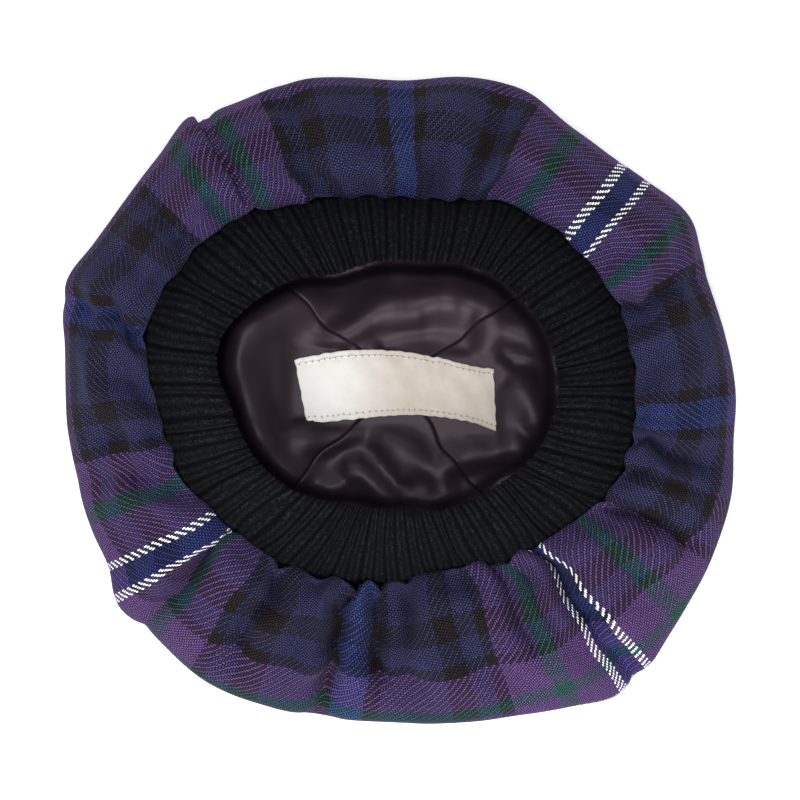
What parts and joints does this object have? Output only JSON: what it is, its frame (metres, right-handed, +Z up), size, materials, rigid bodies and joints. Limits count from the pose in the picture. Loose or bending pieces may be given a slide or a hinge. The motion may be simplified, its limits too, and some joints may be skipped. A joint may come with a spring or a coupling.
{
  "type": "tam o' shanter",
  "caption": "Soft round tartan wool bonnet on a rib-knit head band, with a satin lining and a bare label, lying crown down.",
  "frame": {"origin": "on the surface that the hat rests on, under the middle of its outline", "axes": "+Z up through the head opening, +X to the right and +Y away from the front of the opened hat"},
  "size_m": [0.2812, 0.2708, 0.0733],
  "materials": {
    "tartan": "matt",
    "rib_knit": "matt",
    "lining_satin": "satin",
    "label_tape": "matt"
  },
  "bodies": {
    "root": {"side_strip": "tartan", "crown_disc": "tartan", "rib_band": "rib_knit", "lining_panel_right": "lining_satin", "lining_panel_back": "lining_satin", "lining_panel_left": "lining_satin", "lining_panel_front": "lining_satin", "label": "label_tape"}
  },
  "joints": []
}
